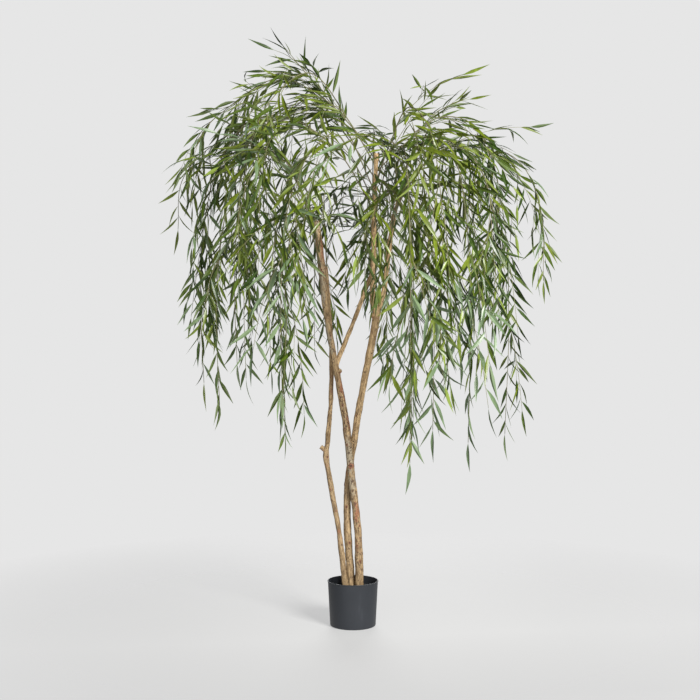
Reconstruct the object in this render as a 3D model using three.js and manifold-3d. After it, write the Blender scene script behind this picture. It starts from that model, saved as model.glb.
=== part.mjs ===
// Artificial weeping willow, about 2.4 m tall: three natural-wood stems set in a
// filled plastic pot, and a crown of long arching sprays of fabric leaves.
//
// Millimetres, +Z up, +X to the right and -Y to the front.
// The origin is the centre of the pot's flat underside.

import * as THREE from 'three';
import { mergeVertices } from 'three/addons/utils/BufferGeometryUtils.js';
import Module from 'manifold-3d';

const wasm = await Module();
wasm.setup();

// ---- Pot and filling -------------------------------------------------------

const POT_HEIGHT = 184;
const POT_RIM_RADIUS = 104.5;
const POT_BASE_RADIUS = 94;
const POT_ROUND = 5;
const POT_WALL = 3;
const POT_FLOOR = 4;
const POT_LIP = 1.5;
const POT_LIP_HEIGHT = 5;
const POT_SIDES = 32;
const FILL_TOP = 155;
const GAP = 0.3;

// ---- Wood ------------------------------------------------------------------
// A bend is [height, sideways, depth, radius]. The stems stand on the filling.

const FOOT = FILL_TOP + GAP;
const STEM_SIDES = 10;
const STEM_STEP = 118;

const LIMBS = {
  stem_right: [
    [FOOT, 27, -10, 18],
    [380, 21, -14, 14.5],
    [596, -3, -18, 15],
    [844, -31, -20, 14.5],
    [1045, -67, -20, 12.5],
    [1250, -104, -22, 11.5],
    [1379, -120, -26, 14],
    [1530, -134, -31, 15.5],
    [1659, -150, -36, 11.5],
  ],
  stem_middle: [
    [FOOT, -6, 8, 16],
    [450, -24, 12, 15],
    [650, -12, 16, 14],
    [967, 40, 14, 13.5],
    [1256, 94, 6, 15.5],
    [1350, 80, 2, 11],
    [1480, 85, 6, 10.5],
    [1720, 88, 16, 9],
    [1944, 97, 20, 8],
  ],
  stem_left: [
    [FOOT, -29, -20, 12.5],
    [400, -60, -12, 10.5],
    [645, -104, 2, 10.5],
    [712, -111, 6, 11],
    [765, -103, 10, 10],
    [960, -90, 20, 9],
    [1200, -92, 40, 8],
    [1480, -112, 92, 6.5],
  ],
  bough_centre: [
    [1070, -72, -18, 9],
    [1132, -45, -6, 9],
    [1315, 28, 22, 8.5],
    [1470, 84, 44, 6.5],
  ],
  bough_right: [
    [1250, 94, 8, 10],
    [1380, 128, 18, 10],
    [1640, 162, 18, 8.5],
    [1790, 196, 20, 7],
  ],
};

// The limb that each bough forks from.
const FORKS = { bough_centre: 'stem_right', bough_right: 'stem_middle' };

// Short stubs left where side branches were sawn off.
const STUBS = [
  { limb: 'stem_left', height: 716, heading: 178, length: 27, radius: 8 },
  { limb: 'stem_right', height: 1036, heading: 335, length: 21, radius: 9 },
  { limb: 'stem_middle', height: 1262, heading: 200, length: 25, radius: 8 },
];

// ---- Foliage ---------------------------------------------------------------
// Each mass is one spray. Its stem leaves a limb at the height `from`, keeps a
// heading (0 right, 90 back, 180 left, 270 front), climbs by its crest, goes
// out by its reach and ends at the height of its tip, bent aside by its sway.
// A weeping spray hangs, a reaching one dips at its end, a rising one is stiff.

const SPRAYS = [
  // name, limb, from, heading, reach, crest, tip, sway, habit
  ['left_outer', 'stem_right', 1652, 182, 455, 420, 1000, 30, 'weep'],
  ['left_near', 'stem_right', 1620, 226, 410, 300, 1080, -20, 'weep'],
  ['left_back', 'stem_right', 1586, 140, 400, 380, 1010, 20, 'weep'],
  ['left_front', 'stem_right', 1552, 207, 440, 400, 920, 20, 'weep'],
  ['front_left', 'stem_right', 1510, 252, 455, 290, 980, 10, 'weep'],
  ['front_thin', 'stem_right', 1450, 250, 380, 230, 810, 0, 'weep'],
  ['back_low', 'stem_left', 1475, 150, 280, 330, 1050, 0, 'weep'],
  ['back_left', 'stem_left', 1330, 100, 420, 480, 1150, 0, 'weep'],
  ['top_left', 'stem_middle', 1942, 180, 376, 0, 2374, 30, 'rise'],
  ['top_right', 'stem_middle', 1918, 10, 330, 0, 2170, -10, 'rise'],
  ['high_left_front', 'stem_middle', 1892, 206, 570, 350, 1400, 20, 'weep'],
  ['right_outer', 'stem_middle', 1866, 354, 530, 225, 790, 0, 'weep'],
  ['high_left_back', 'stem_middle', 1840, 156, 570, 360, 1400, 0, 'weep'],
  ['high_front', 'stem_middle', 1814, 304, 430, 280, 1180, 0, 'weep'],
  ['high_left', 'stem_middle', 1788, 181, 770, 470, 1780, -20, 'reach'],
  ['high_back', 'stem_middle', 1762, 90, 420, 310, 1400, 0, 'weep'],
  ['high_front_left', 'stem_middle', 1736, 232, 486, 250, 1500, 0, 'weep'],
  ['far_left', 'stem_middle', 1708, 172, 825, 400, 1640, 40, 'reach'],
  ['front', 'stem_middle', 1672, 286, 466, 250, 800, 0, 'weep'],
  ['front_middle', 'stem_middle', 1630, 279, 376, 170, 1300, 0, 'weep'],
  ['far_right', 'bough_right', 1788, 3, 600, 190, 1420, 0, 'reach'],
  ['back_right', 'bough_right', 1754, 94, 440, 290, 1030, 0, 'weep'],
  ['right', 'bough_right', 1726, 329, 430, 248, 1250, 0, 'weep'],
  ['right_back', 'bough_right', 1698, 38, 450, 320, 1330, 0, 'weep'],
  ['right_front', 'bough_right', 1668, 307, 450, 340, 780, 0, 'weep'],
  ['front_right', 'bough_right', 1634, 274, 520, 290, 720, 10, 'weep'],
  ['right_near', 'bough_right', 1598, 290, 400, 300, 830, 10, 'weep'],
  ['front_near', 'bough_right', 1560, 284, 330, 220, 870, 0, 'weep'],
  ['back_middle', 'bough_centre', 1469, 95, 330, 330, 1350, 0, 'weep'],
];

// Out (in reaches), up and aside (in sways) along a spray's stem. `c` is the
// crest and `d` the drop from the start to the tip, up being positive.
const HABITS = {
  weep: (c, d) => [
    [0, 0, 0],
    [0.22, 0.5 * c, 0.2],
    [0.52, c, 0.6],
    [0.84, 0.62 * c, 1],
    [1.0, 0.43 * c + 0.3 * d, 1.1],
    [1.03, 0.22 * c + 0.64 * d, 1.05],
    [1, d, 1],
  ],
  reach: (c, d) => [
    [0, 0, 0],
    [0.2, 0.66 * c, 0.3],
    [0.5, c, 0.7],
    [0.82, 0.7 * c, 0.9],
    [0.98, 0.4 * c + 0.4 * d, 1],
    [1, d, 1],
  ],
  rise: (c, d) => [
    [0, 0, 0],
    [0.25, 0.24 * d, 0.3],
    [0.55, 0.53 * d, 0.7],
    [0.8, 0.79 * d, 0.9],
    [1, d, 1],
  ],
};

const SPRAY_STEPS = 10;
const SPRAY_ROOT_RADIUS = 4.8;
const SPRAY_TIP_RADIUS = 2.8;
const STRAND_COUNT = 3;
const STRAND_LENGTH = 420;
const STRAND_STEPS = 4;
const STRAND_RADIUS = 3.2;
const STRAND_TIP_RADIUS = 2.4;
const STRAND_DROOP = 1.1;
const LEAF_LENGTH = 186;
const LEAF_WIDTH = 32;
const LEAF_THICKNESS = 3;
const LEAF_SINK = 1;
const END_LEAF_LENGTH = 100;
const END_LEAF_WIDTH = 19;
const SPRAY_BARE = 0.16;
const STRAND_BARE = 0.16;
const SPRAY_LEAF_STEP = 162;
const STRAND_LEAF_STEP = 142;
const LEAF_TRIES = 5;
const STRAND_TRIES = 4;
const CLEARANCE = 2;

// ---- Helpers ---------------------------------------------------------------

const UP = new THREE.Vector3(0, 0, 1);

const mix = (a, b, k) => a + (b - a) * k;

const flat = (degrees) => {
  const angle = THREE.MathUtils.degToRad(degrees);
  return new THREE.Vector3(Math.cos(angle), Math.sin(angle), 0);
};

// A repeatable stream of numbers from 0 to 1.
function stream(seed) {
  let state = seed >>> 0;
  return () => {
    state = (state + 0x6d2b79f5) >>> 0;
    let t = Math.imul(state ^ (state >>> 15), state | 1);
    t ^= t + Math.imul(t ^ (t >>> 7), t | 61);
    return ((t ^ (t >>> 14)) >>> 0) / 4294967296;
  };
}

function toManifold(geometry) {
  const bare = geometry.clone();
  bare.deleteAttribute('normal');
  bare.deleteAttribute('uv');
  const merged = mergeVertices(bare, 1e-4);
  return new wasm.Manifold(new wasm.Mesh({
    numProp: 3,
    vertProperties: new Float32Array(merged.attributes.position.array),
    triVerts: new Uint32Array(merged.index.array),
  }));
}

function toGeometry(solid) {
  const { numProp, vertProperties, triVerts } = solid.getMesh();
  const positions = new Float32Array((vertProperties.length / numProp) * 3);
  for (let i = 0; i < positions.length / 3; i += 1) {
    for (let k = 0; k < 3; k += 1) {
      positions[3 * i + k] = vertProperties[numProp * i + k];
    }
  }
  const geometry = new THREE.BufferGeometry();
  geometry.setAttribute('position', new THREE.BufferAttribute(positions, 3));
  geometry.setIndex(Array.from(triVerts));
  geometry.computeVertexNormals();
  return geometry;
}

// Joins the solids and keeps the one whole body, so scraps drop out and sealed
// hollows are filled.
function fuse(solids) {
  let whole = solids[0];
  for (const solid of solids.slice(1)) whole = whole.add(solid);
  return largest(whole);
}

function largest(solid) {
  let best = null;
  for (const piece of solid.decompose()) {
    if (!best || piece.volume() > best.volume()) best = piece;
  }
  return best;
}

// A closed cylinder bent so that its rings lie on the given points.
function tube(points, radii, sides, across) {
  const steps = points.length - 1;
  const geometry = new THREE.CylinderGeometry(1, 1, steps, sides, steps);
  const position = geometry.attributes.position;
  const frames = points.map((point, i) => {
    const before = points[Math.max(i - 1, 0)];
    const after = points[Math.min(i + 1, steps)];
    const along = new THREE.Vector3().subVectors(after, before).normalize();
    const side = across.clone().addScaledVector(along, -across.dot(along)).normalize();
    return { side, other: new THREE.Vector3().crossVectors(along, side) };
  });
  for (let i = 0; i < position.count; i += 1) {
    const ring = Math.round(position.getY(i) + steps / 2);
    const { side, other } = frames[ring];
    const spot = points[ring].clone();
    spot.addScaledVector(side, -position.getX(i) * radii[ring]);
    spot.addScaledVector(other, position.getZ(i) * radii[ring]);
    position.setXYZ(i, spot.x, spot.y, spot.z);
  }
  return toManifold(geometry);
}

// ---- Limbs -----------------------------------------------------------------

function limbCurve(bends) {
  return new THREE.CatmullRomCurve3(
    bends.map(([z, x, y]) => new THREE.Vector3(x, y, z)), false, 'catmullrom', 0.5);
}

// Even steps along a limb: its points and its radius at each.
function limbRings(bends, step) {
  const curve = limbCurve(bends);
  const rings = [];
  for (let i = 0; i < bends.length - 1; i += 1) {
    const count = Math.max(1, Math.round((bends[i + 1][0] - bends[i][0]) / step));
    for (let k = 0; k < count; k += 1) rings.push(i + k / count);
  }
  rings.push(bends.length - 1);
  const points = rings.map((at) => curve.getPoint(at / (bends.length - 1)));
  const radii = rings.map((at) => {
    const i = Math.min(Math.floor(at), bends.length - 2);
    return mix(bends[i][3], bends[i + 1][3], at - i);
  });
  return { points, radii };
}

// The first ring is turned level, so a stem's foot is a flat cut.
function limbSolid(name, extra = 0) {
  const { points, radii } = limbRings(LIMBS[name], STEM_STEP);
  if (!FORKS[name]) points.splice(1, 0, points[0].clone().add(new THREE.Vector3(0, 0, 14)));
  if (!FORKS[name]) radii.splice(1, 0, radii[0]);
  return tube(points, radii.map((r) => r + extra), STEM_SIDES, new THREE.Vector3(1, 0, 0));
}

function onLimb(name, height) {
  const { points } = limbRings(LIMBS[name], 10);
  const i = Math.max(1, points.findIndex((p) => p.z >= height));
  const k = (height - points[i - 1].z) / (points[i].z - points[i - 1].z);
  return new THREE.Vector3().lerpVectors(points[i - 1], points[i], k);
}

function stubSolid({ limb, height, heading, length, radius }) {
  const start = onLimb(limb, height);
  const way = flat(heading).add(new THREE.Vector3(0, 0, 0.8)).normalize();
  const points = [start, start.clone().addScaledVector(way, length)];
  return tube(points, [radius + 2, radius], 8, new THREE.Vector3(0, 0, 1));
}

// ---- Sprays ----------------------------------------------------------------

function spine(row) {
  const [, limb, from, heading, reach, crest, tip, sway, habit] = row;
  const start = onLimb(limb, from);
  const out = flat(heading);
  const aside = flat(heading + 90);
  const bends = HABITS[habit](crest, tip - start.z).map(([o, u, a]) => start.clone()
    .addScaledVector(out, o * reach)
    .addScaledVector(UP, u)
    .addScaledVector(aside, a * sway));
  const curve = new THREE.CatmullRomCurve3(bends, false, 'catmullrom', 0.5);
  return curve.getPoints(SPRAY_STEPS);
}

// A level direction square to a line's start.
function levelAcross(points) {
  const along = new THREE.Vector3().subVectors(points[1], points[0]);
  const level = new THREE.Vector3().crossVectors(along, UP);
  return level.length() < 1 ? new THREE.Vector3(1, 0, 0) : level.normalize();
}

// A strand walks out of its stem and bends down on the way.
function strandPoints(start, along, turn, open, length, droop, draw) {
  const level = new THREE.Vector3().crossVectors(along, UP);
  if (level.length() < 0.15) level.copy(flat(360 * draw()));
  level.normalize();
  const lift = new THREE.Vector3().crossVectors(level, along);
  const way = along.clone().multiplyScalar(Math.cos(open))
    .addScaledVector(level, Math.cos(turn) * Math.sin(open))
    .addScaledVector(lift, Math.sin(turn) * Math.sin(open))
    .normalize();
  const drift = flat(360 * draw()).multiplyScalar(0.2);
  const points = [start.clone()];
  for (let i = 0; i < STRAND_STEPS; i += 1) {
    way.addScaledVector(UP, -droop / STRAND_STEPS);
    way.addScaledVector(drift, 1 / STRAND_STEPS).normalize();
    points.push(points[i].clone().addScaledVector(way, length / STRAND_STEPS));
  }
  return points;
}

function measured(points) {
  const at = [0];
  for (let i = 1; i < points.length; i += 1) {
    at.push(at[i - 1] + points[i].distanceTo(points[i - 1]));
  }
  return at;
}

function spotAt(points, at, distance) {
  let i = 1;
  while (i < points.length - 1 && distance > at[i]) i += 1;
  const k = (distance - at[i - 1]) / (at[i] - at[i - 1]);
  const along = new THREE.Vector3().subVectors(points[i], points[i - 1]).normalize();
  return { spot: new THREE.Vector3().lerpVectors(points[i - 1], points[i], k), along };
}

// A blade of six faces: flat below and ridged above, from a root point sunk in
// its twig, out to its two edges and on to its tip.
function leafSolid({ root, way, normal, length, width }) {
  const side = new THREE.Vector3().crossVectors(way, normal).normalize();
  const corner = (x, y, z) => {
    if (y > 0) return [-LEAF_SINK, 0, 0];
    if (Math.hypot(x, z) < 0.1) return [length, 0, 0];
    if (Math.abs(x) < 0.1) return [0.13 * length, 0, LEAF_THICKNESS];
    return [0.36 * length, (Math.sign(x) * width) / 2, 0];
  };
  const geometry = new THREE.CylinderGeometry(0, 1, 1, 3, 1);
  const position = geometry.attributes.position;
  for (let i = 0; i < position.count; i += 1) {
    const [along, aside, up] = corner(position.getX(i), position.getY(i), position.getZ(i));
    const spot = root.clone()
      .addScaledVector(way, along)
      .addScaledVector(side, -aside)
      .addScaledVector(normal, up);
    position.setXYZ(i, spot.x, spot.y, spot.z);
  }
  return toManifold(geometry);
}

// ---- Room ------------------------------------------------------------------
// Everything placed is remembered as bars, straight lines with a radius. A twig
// or leaf that would touch a limb, another mass or a neighbour is left out.

const taken = [];

function barGap(a, b) {
  const u = new THREE.Vector3().subVectors(a.end, a.start);
  const v = new THREE.Vector3().subVectors(b.end, b.start);
  const w = new THREE.Vector3().subVectors(a.start, b.start);
  const uu = u.dot(u);
  const uv = u.dot(v);
  const vv = v.dot(v);
  const uw = u.dot(w);
  const vw = v.dot(w);
  const clamp = (x) => Math.min(1, Math.max(0, x));
  const det = uu * vv - uv * uv;
  let s = det > 1e-9 ? clamp((uv * vw - vv * uw) / det) : 0;
  let t = (uv * s + vw) / vv;
  if (t < 0 || t > 1) {
    t = clamp(t);
    s = clamp((uv * t - uw) / uu);
  }
  const gap = w.addScaledVector(u, s).addScaledVector(v, -t).length();
  return gap - a.radius - b.radius;
}

// A line is a twig of one mass: its points, the radius at each, and its name.
function lineBars({ points, radii, mass, name }, on = null) {
  return points.slice(1).map((end, i) => ({
    start: points[i], end, radius: Math.max(radii[i], radii[i + 1]), mass, name, on,
  }));
}

// A bar may touch the twig it grows on, and leaves of one mass may come close.
function isFree(list) {
  return list.every((bar) => taken.every((other) => {
    if (other.mass !== bar.mass) return barGap(bar, other) > CLEARANCE;
    return other.name === bar.on || barGap(bar, other) > -0.5 * bar.radius;
  }));
}

// ---- Growing a mass --------------------------------------------------------

const taper = (from, to, steps) => Array.from(
  { length: steps + 1 }, (_, i) => mix(from, to, i / steps));

function growLeaf(line, leaf) {
  const bar = {
    start: leaf.root.clone().addScaledVector(leaf.way, 0.08 * leaf.length),
    end: leaf.root.clone().addScaledVector(leaf.way, leaf.length),
    radius: leaf.width / 2,
    mass: line.mass,
    name: 'leaf',
    on: line.name,
  };
  if (!isFree([bar])) return null;
  taken.push(bar);
  return leafSolid(leaf);
}

function across(way, draw) {
  const normal = UP.clone().addScaledVector(flat(360 * draw()), 0.7);
  return normal.addScaledVector(way, -normal.dot(way)).normalize();
}

// Leaves stand alternately on the two sides of a line and point along it.
function sideLeaf(line, root, along, side, size, draw) {
  const level = new THREE.Vector3().crossVectors(along, UP);
  if (level.length() < 0.3) level.copy(flat(360 * draw()));
  level.addScaledVector(along, -level.dot(along)).normalize();
  const other = new THREE.Vector3().crossVectors(along, level);
  for (let i = 0; i < LEAF_TRIES; i += 1) {
    const turn = side * Math.PI + 2.4 * (draw() - 0.5) + 1.1 * i;
    const open = mix(0.36, 0.78, draw());
    const way = along.clone().multiplyScalar(Math.cos(open))
      .addScaledVector(level, Math.cos(turn) * Math.sin(open))
      .addScaledVector(other, Math.sin(turn) * Math.sin(open))
      .addScaledVector(UP, -0.12)
      .normalize();
    const normal = across(way, draw);
    const length = LEAF_LENGTH * size;
    const width = LEAF_WIDTH * size;
    const solid = growLeaf(line, { root, way, normal, length, width });
    if (solid) return solid;
  }
  return null;
}

function endLeaf(line, draw) {
  const root = line.points.at(-1);
  const way = new THREE.Vector3().subVectors(root, line.points.at(-2)).normalize();
  const normal = across(way, draw);
  return growLeaf(line, {
    root: root.clone().addScaledVector(way, -1),
    way,
    normal,
    length: END_LEAF_LENGTH,
    width: END_LEAF_WIDTH,
  });
}

function leavesAlong(line, first, step, draw) {
  const at = measured(line.points);
  const total = at.at(-1);
  const leaves = [endLeaf(line, draw)];
  let side = draw() < 0.5 ? 0 : 1;
  for (let d = first * total; d < total - 30; d += step * mix(0.72, 1.32, d / total)) {
    const { spot, along } = spotAt(line.points, at, d);
    const size = mix(1.05, 0.85, d / total) * mix(0.9, 1.1, draw());
    leaves.push(sideLeaf(line, spot, along, side, size, draw));
    side = 1 - side;
  }
  return leaves.filter(Boolean);
}

function growStrand(stem, habit, tip, j, draw) {
  const at = measured(stem.points);
  const k = mix(0.12, 0.68, (j + mix(0.3, 0.7, draw())) / STRAND_COUNT);
  const { spot, along } = spotAt(stem.points, at, at.at(-1) * k);
  const side = j % 2 ? 1 : -1;
  const sag = mix(-0.45, 0.85, draw()) - (habit === 'rise' ? 0.6 : 0);
  const turn = (j % 2) * Math.PI + sag * side;
  const open = mix(0.25, 0.85, draw());
  let length = STRAND_LENGTH * mix(0.75, 1.25, draw());
  if (habit === 'weep') length = Math.max(190, Math.min(length, spot.z - tip - 40));
  else length *= mix(0.8, 0.4, k);
  let droop = STRAND_DROOP * mix(0.7, 1.3, draw()) * mix(0.7, 1.9, k);
  if (habit === 'rise') droop *= 0.5;
  return {
    points: strandPoints(spot, along, turn, open, length, droop, draw),
    radii: taper(STRAND_RADIUS, STRAND_TIP_RADIUS, STRAND_STEPS),
    mass: stem.mass,
    name: `strand_${j}`,
  };
}

function growSpray([name, , , heading, , , tip, , habit], index) {
  const stem = stems[index];
  const lines = [stem];
  const solids = [tube(stem.points, stem.radii, 3, flat(heading + 90))];
  const draws = [stream(1000 + 97 * index)];
  for (let j = 0; j < STRAND_COUNT; j += 1) {
    const draw = stream(5000 + 97 * index + j);
    for (let i = 0; i < STRAND_TRIES; i += 1) {
      const line = growStrand(stem, habit, tip, j, draw);
      const list = lineBars(line, stem.name);
      if (isFree(list)) {
        taken.push(...list);
        solids.push(tube(line.points, line.radii, 3, levelAcross(line.points)));
        lines.push(line);
        draws.push(draw);
        break;
      }
    }
  }
  lines.forEach((line, i) => {
    const first = i === 0 ? SPRAY_BARE : STRAND_BARE;
    const step = i === 0 ? SPRAY_LEAF_STEP : STRAND_LEAF_STEP;
    solids.push(...leavesAlong(line, first, step, draws[i]));
  });
  return fuse(solids);
}

// ---- Assembly --------------------------------------------------------------

const tree = new THREE.Group();

function addNode(name, solid, color, roughness) {
  const material = new THREE.MeshStandardMaterial({ color, roughness, metalness: 0 });
  const mesh = new THREE.Mesh(solid.isBufferGeometry ? solid : toGeometry(solid), material);
  mesh.name = name;
  tree.add(mesh);
}

// The pot is turned as one profile, from the axis out, up over the lip and back
// down the inside.
const innerBase = POT_BASE_RADIUS - POT_WALL;
const innerRim = POT_RIM_RADIUS - POT_WALL;
const innerAt = (z) => mix(innerBase, innerRim, z / POT_HEIGHT);
const outerAt = (z) => mix(POT_BASE_RADIUS, POT_RIM_RADIUS - POT_LIP, z / POT_HEIGHT);
const lipFoot = POT_HEIGHT - POT_LIP_HEIGHT;

const potProfile = [
  [0, 0],
  [POT_BASE_RADIUS - POT_ROUND, 0],
  [POT_BASE_RADIUS - 0.3 * POT_ROUND, 0.3 * POT_ROUND],
  [outerAt(POT_ROUND), POT_ROUND],
  [outerAt(lipFoot), lipFoot],
  [POT_RIM_RADIUS, lipFoot + 1.2],
  [POT_RIM_RADIUS, POT_HEIGHT - 1],
  [POT_RIM_RADIUS - 1, POT_HEIGHT],
  [innerRim, POT_HEIGHT],
  [innerAt(POT_FLOOR), POT_FLOOR],
  [0, POT_FLOOR],
];
const fillProfile = [
  [0, POT_FLOOR + GAP],
  [innerAt(POT_FLOOR) - 2 * GAP, POT_FLOOR + GAP],
  [innerAt(FILL_TOP) - 2 * GAP, FILL_TOP],
  [0, FILL_TOP],
];

function turned(profile) {
  const points = profile.map(([r, z]) => new THREE.Vector2(r, z));
  const geometry = new THREE.LatheGeometry(points, POT_SIDES);
  geometry.rotateX(Math.PI / 2);
  return toManifold(geometry);
}

addNode('pot', turned(potProfile), 0x3e4347, 0.45);
addNode('pot_fill', turned(fillProfile), 0x17181a, 0.95);

for (const name of Object.keys(LIMBS)) {
  let solid = limbSolid(name);
  for (const stub of STUBS.filter(({ limb }) => limb === name)) solid = solid.add(stubSolid(stub));
  if (FORKS[name]) solid = largest(solid.subtract(limbSolid(FORKS[name], GAP + 0.05)));
  taken.push(...lineBars({ ...limbRings(LIMBS[name], STEM_STEP), mass: name, name }));
  addNode(name, solid, 0xa88a63, 0.8);
}

const stems = SPRAYS.map((row) => ({
  points: spine(row),
  radii: taper(SPRAY_ROOT_RADIUS, SPRAY_TIP_RADIUS, SPRAY_STEPS),
  mass: row[0],
  name: 'stem',
}));
stems.forEach((stem) => taken.push(...lineBars(stem)));
SPRAYS.forEach((row, index) => {
  const around = limbSolid(row[1], GAP + 0.05);
  const solid = largest(growSpray(row, index).subtract(around));
  addNode(`foliage_${row[0]}`, solid, 0x55703a, 0.6);
});

export default tree;
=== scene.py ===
"""The looks of a potted artificial weeping willow.

Three natural-wood stems stand in a filled plastic pot and carry long arching
sprays of fabric leaves. The crown grows from two tables, of limbs and of
sprays, by one seeded rule. Tables are in millimetres, the scene in metres,
with +Z up, +X to the right and -Y to the front.
"""

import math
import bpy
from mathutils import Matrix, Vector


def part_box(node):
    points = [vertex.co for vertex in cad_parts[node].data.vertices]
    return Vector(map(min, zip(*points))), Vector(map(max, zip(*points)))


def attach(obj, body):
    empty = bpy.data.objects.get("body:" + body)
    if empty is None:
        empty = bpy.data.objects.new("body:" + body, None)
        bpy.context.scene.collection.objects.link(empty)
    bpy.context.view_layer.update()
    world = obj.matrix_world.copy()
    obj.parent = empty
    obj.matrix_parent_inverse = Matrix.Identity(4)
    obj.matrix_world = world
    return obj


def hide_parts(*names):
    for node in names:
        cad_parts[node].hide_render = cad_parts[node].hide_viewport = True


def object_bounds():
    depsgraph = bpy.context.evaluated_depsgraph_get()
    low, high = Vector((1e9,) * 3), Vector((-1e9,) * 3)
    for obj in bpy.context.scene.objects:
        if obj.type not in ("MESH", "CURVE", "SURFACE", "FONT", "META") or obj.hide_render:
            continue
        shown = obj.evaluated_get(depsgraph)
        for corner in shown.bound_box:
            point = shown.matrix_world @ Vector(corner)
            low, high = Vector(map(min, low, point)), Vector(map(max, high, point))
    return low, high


bl_info = {
    "name": "Potted Weeping Willow",
    "version": (1, 0, 0),
    "blender": (4, 5, 0),
    "location": "View3D > Sidebar > Willow",
    "description": "Builds an artificial weeping willow in its pot, with its studio stage",
    "category": "Add Mesh",
}

from collections import namedtuple

import bpy
import numpy as np
from mathutils import Vector, noise

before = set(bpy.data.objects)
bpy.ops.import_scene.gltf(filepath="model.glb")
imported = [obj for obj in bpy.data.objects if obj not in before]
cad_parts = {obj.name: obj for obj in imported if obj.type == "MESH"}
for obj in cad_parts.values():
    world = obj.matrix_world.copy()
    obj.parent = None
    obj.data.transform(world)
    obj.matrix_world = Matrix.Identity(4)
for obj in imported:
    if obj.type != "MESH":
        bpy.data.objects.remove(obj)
CAD_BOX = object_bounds()
POT_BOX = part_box("pot")
FILL_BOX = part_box("pot_fill")

MM = 0.001
UP = Vector((0, 0, 1))


def shade(code):
    """A scene colour from its usual six-digit screen code."""
    parts = [int(code[i : i + 2], 16) / 255 for i in (0, 2, 4)]
    return [p / 12.92 if p <= 0.04045 else ((p + 0.055) / 1.055) ** 2.4 for p in parts]


# ---- Tables -----------------------------------------------------------------

# A bend is (height, sideways, depth, radius). The stems stand in the filling.
FOOT = FILL_BOX[1].z / MM + 0.3
LIMBS = {
    "stem_right": [
        (FOOT, 27, -10, 18),
        (380, 21, -14, 14.5),
        (596, -3, -18, 15),
        (844, -31, -20, 14.5),
        (1045, -67, -20, 12.5),
        (1250, -104, -22, 11.5),
        (1379, -120, -26, 14),
        (1530, -134, -31, 15.5),
        (1659, -150, -36, 11.5),
    ],
    "stem_middle": [
        (FOOT, -6, 8, 16),
        (450, -24, 12, 15),
        (650, -12, 16, 14),
        (967, 40, 14, 13.5),
        (1256, 94, 6, 15.5),
        (1350, 80, 2, 11),
        (1480, 85, 6, 10.5),
        (1720, 88, 16, 9),
        (1944, 97, 20, 8),
    ],
    "stem_left": [
        (FOOT, -29, -20, 12.5),
        (400, -60, -12, 10.5),
        (645, -104, 2, 10.5),
        (712, -111, 6, 11),
        (765, -103, 10, 10),
        (960, -90, 20, 9),
        (1200, -92, 40, 8),
        (1480, -112, 92, 6.5),
    ],
    "bough_centre": [
        (1070, -72, -18, 9),
        (1132, -45, -6, 9),
        (1315, 28, 22, 8.5),
        (1470, 84, 44, 6.5),
    ],
    "bough_right": [
        (1250, 94, 8, 10),
        (1380, 128, 18, 10),
        (1640, 162, 18, 8.5),
        (1790, 196, 20, 7),
    ],
}
FORKED = ("bough_centre", "bough_right")

# By limb: height, heading, length and radius of its sawn-off side branch.
STUBS = {
    "stem_left": (716, 178, 27, 8),
    "stem_right": (1036, 335, 21, 9),
    "stem_middle": (1262, 200, 25, 8),
}

# By limb: height, heading and half-width of the knots that stand out.
KNOTS = {
    "stem_right": [
        (658, 278, 7),
        (745, 250, 5),
        (812, 246, 4),
        (905, 262, 5),
        (462, 262, 4),
        (412, 300, 5),
        (330, 250, 4),
        (268, 285, 5),
        (1190, 280, 4),
        (1460, 265, 5),
        (560, 90, 6),
        (980, 110, 5),
    ],
    "stem_middle": [
        (486, 262, 5),
        (338, 290, 6),
        (575, 200, 6),
        (860, 240, 4),
        (1120, 300, 4),
        (700, 85, 6),
    ],
    "stem_left": [
        (560, 255, 4),
        (470, 285, 4),
        (690, 300, 5),
        (890, 230, 3),
        (1010, 95, 4),
    ],
}

# By limb, patches of bark: height, heading, half the length, and how weathered
# and how reddish they are.
PATCHES = {
    "stem_right": [
        (1640, 270, 40, 0.9, 0.0),
        (1540, 330, 70, 0.1, 0.9),
        (1400, 240, 110, 0.8, 0.1),
        (1180, 230, 80, 0.7, 0.2),
        (965, 325, 50, 0.0, 1.0),
        (820, 250, 80, 0.4, 0.1),
        (830, 345, 45, 0.0, 0.9),
        (700, 265, 75, 1.0, 0.0),
        (658, 278, 14, 0.0, 1.0),
        (580, 250, 60, 0.8, 0.0),
        (470, 285, 50, 0.1, 0.9),
        (330, 250, 60, 0.2, 0.5),
    ],
    "stem_middle": [
        (1240, 280, 60, 0.1, 0.4),
        (1500, 290, 70, 0.2, 0.5),
        (640, 240, 60, 0.1, 0.5),
    ],
    "stem_left": [
        (640, 250, 40, 0.2, 0.5),
        (1000, 270, 90, 0.3, 0.5),
        (380, 280, 50, 0.1, 0.5),
    ],
}

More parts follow.
